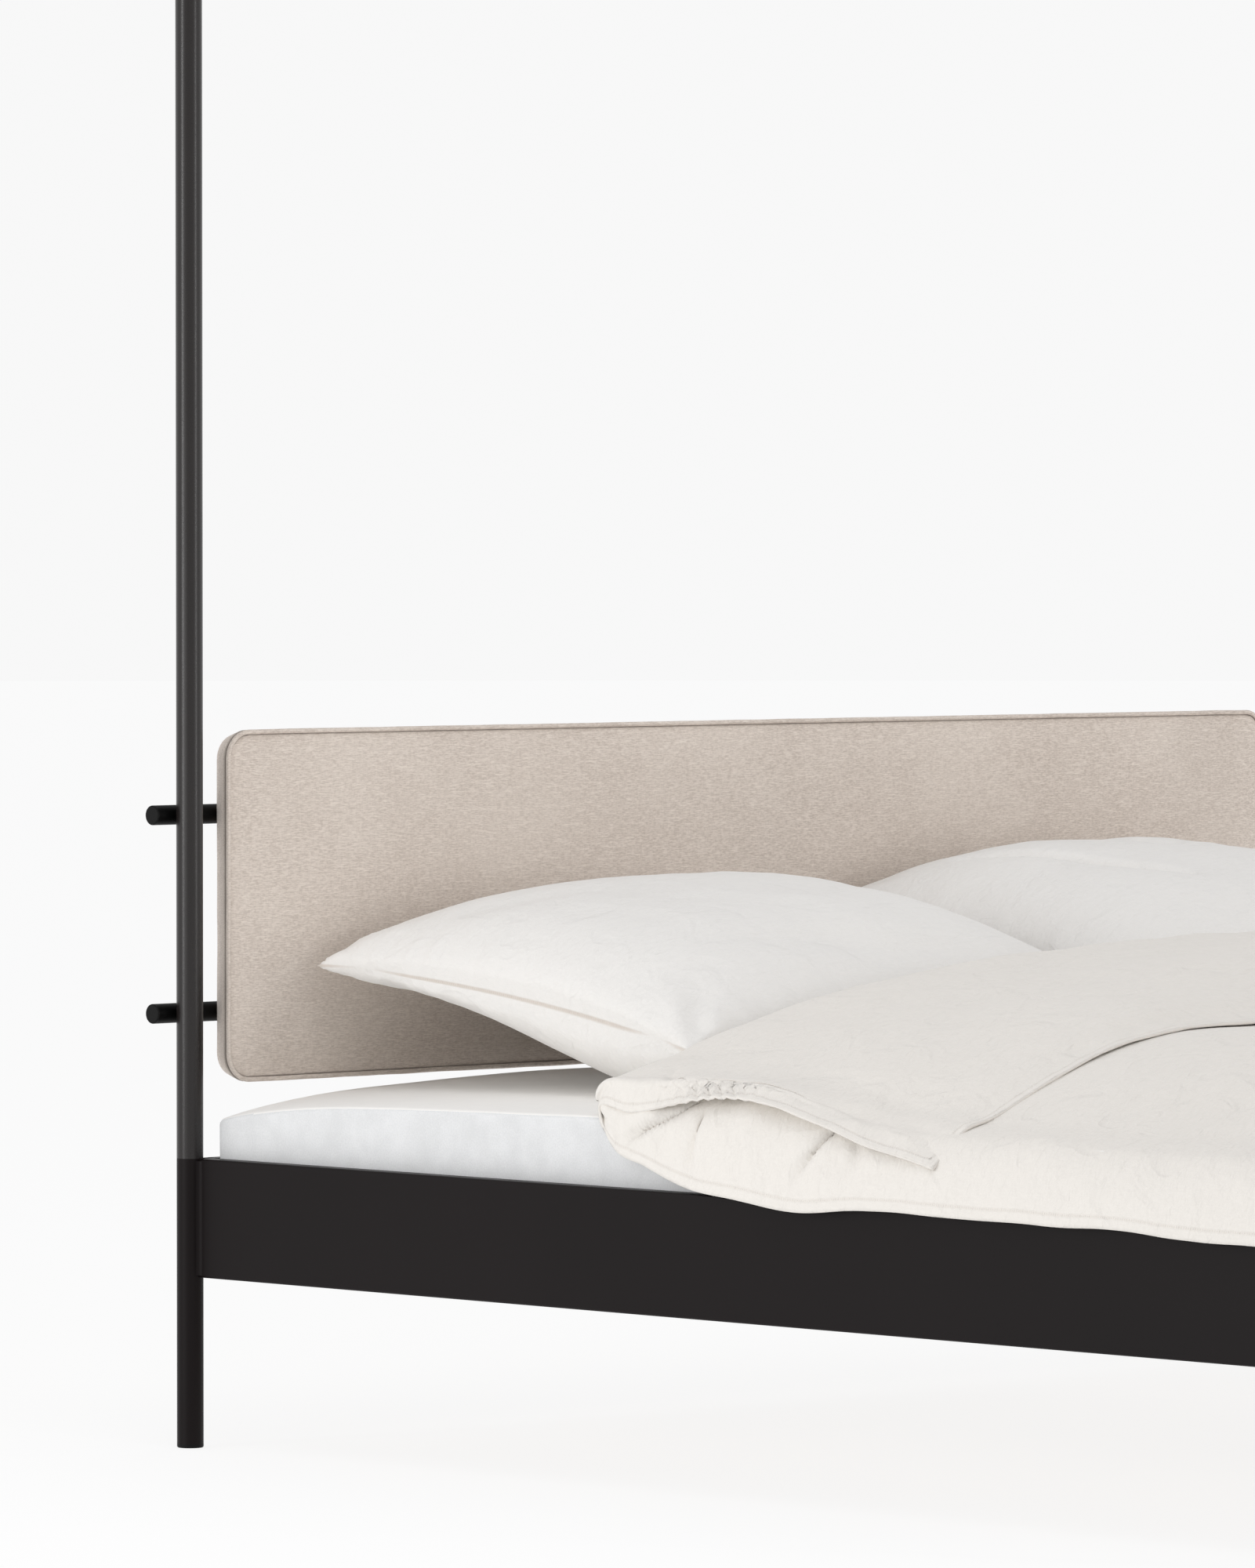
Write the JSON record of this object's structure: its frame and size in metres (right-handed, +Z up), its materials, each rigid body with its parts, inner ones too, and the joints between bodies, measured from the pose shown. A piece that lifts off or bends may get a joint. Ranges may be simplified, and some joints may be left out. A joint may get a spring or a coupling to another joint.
{
  "type": "four poster canopy bed",
  "caption": "Steel four-poster bed with tube posts and canopy rails, deep flat side rails, a slatted base, an upholstered headboard on rods, mattress, pillows and a turned-back duvet.",
  "frame": {"origin": "on the floor under the bed's centre", "axes": "+Z up; +Y towards the head end; +X across the bed, to the right of someone lying on their back"},
  "size_m": [2.116, 2.1015, 2.05],
  "materials": {
    "frame_black": "satin powder coat",
    "post_grey": "satin powder coat",
    "rod_black": "satin powder coat",
    "black_plastic": "fine moulded texture",
    "spigot_steel": "drawn",
    "black_fixings": "black oxide",
    "zinc_fixings": "zinc plated",
    "hook_steel": "satin",
    "slat_wood": "planed, unvarnished",
    "webbing": "woven tape",
    "plywood": "sanded plywood",
    "headboard_cloth": "slubbed melange weave",
    "mattress_cloth": "knitted ticking",
    "pillow_cotton": "plain cotton",
    "duvet_cotton": "plain cotton with stitched hems"
  },
  "bodies": {
    "frame": {"leg_head_left": "frame_black", "leg_head_right": "frame_black", "leg_foot_left": "frame_black", "leg_foot_right": "frame_black", "foot_glides": "black_plastic", "canopy_post_head_left": "post_grey", "canopy_post_head_right": "post_grey", "canopy_post_foot_left": "post_grey", "canopy_post_foot_right": "post_grey", "post_spigots": "spigot_steel", "spigot_screws": "black_fixings", "side_rail_left": "frame_black", "side_rail_right": "frame_black", "head_rail": "frame_black", "foot_rail": "frame_black", "corner_brackets": "frame_black", "rail_end_plates": "frame_black", "rail_bolts": "zinc_fixings", "slat_ledge_left": "frame_black", "slat_ledge_right": "frame_black", "centre_beam": "frame_black", "beam_hangers": "frame_black", "centre_leg": "frame_black", "centre_leg_glide": "black_plastic", "slats_left": "slat_wood", "slats_right": "slat_wood", "slat_straps_left": "webbing", "slat_straps_right": "webbing", "canopy_corner_head_left": "post_grey", "canopy_corner_head_right": "post_grey", "canopy_corner_foot_left": "post_grey", "canopy_corner_foot_right": "post_grey", "canopy_rail_left": "post_grey", "canopy_rail_right": "post_grey", "canopy_rail_head": "post_grey", "canopy_rail_foot": "post_grey", "canopy_screws": "black_fixings", "headboard_rod_upper": "rod_black", "headboard_rod_lower": "rod_black", "rod_end_caps": "black_plastic", "rod_screws": "black_fixings"},
    "headboard": {"headboard_panel": "plywood", "headboard_cushion": "headboard_cloth", "headboard_hooks": "hook_steel", "hook_screws": "zinc_fixings"},
    "mattress": {"mattress": "mattress_cloth"},
    "pillow_left": {"pillow_left": "pillow_cotton"},
    "pillow_right": {"pillow_right": "pillow_cotton"},
    "duvet": {"duvet": "duvet_cotton"}
  },
  "joints": [
    {"name": "headboard_lift", "type": "slide", "parent": "frame", "child": "headboard", "axis": [0, 0, 1], "range_m": [0, 0.06]},
    {"name": "mattress_lift", "type": "slide", "parent": "frame", "child": "mattress", "axis": [0, 0, 1], "range_m": [0, 0.3]},
    {"name": "pillow_left_lift", "type": "slide", "parent": "mattress", "child": "pillow_left", "axis": [0, 0, 1], "range_m": [0, 0.25]},
    {"name": "pillow_right_lift", "type": "slide", "parent": "mattress", "child": "pillow_right", "axis": [0, 0, 1], "range_m": [0, 0.25]},
    {"name": "duvet_lift", "type": "slide", "parent": "mattress", "child": "duvet", "axis": [0, 0, 1], "range_m": [0, 0.25]}
  ]
}
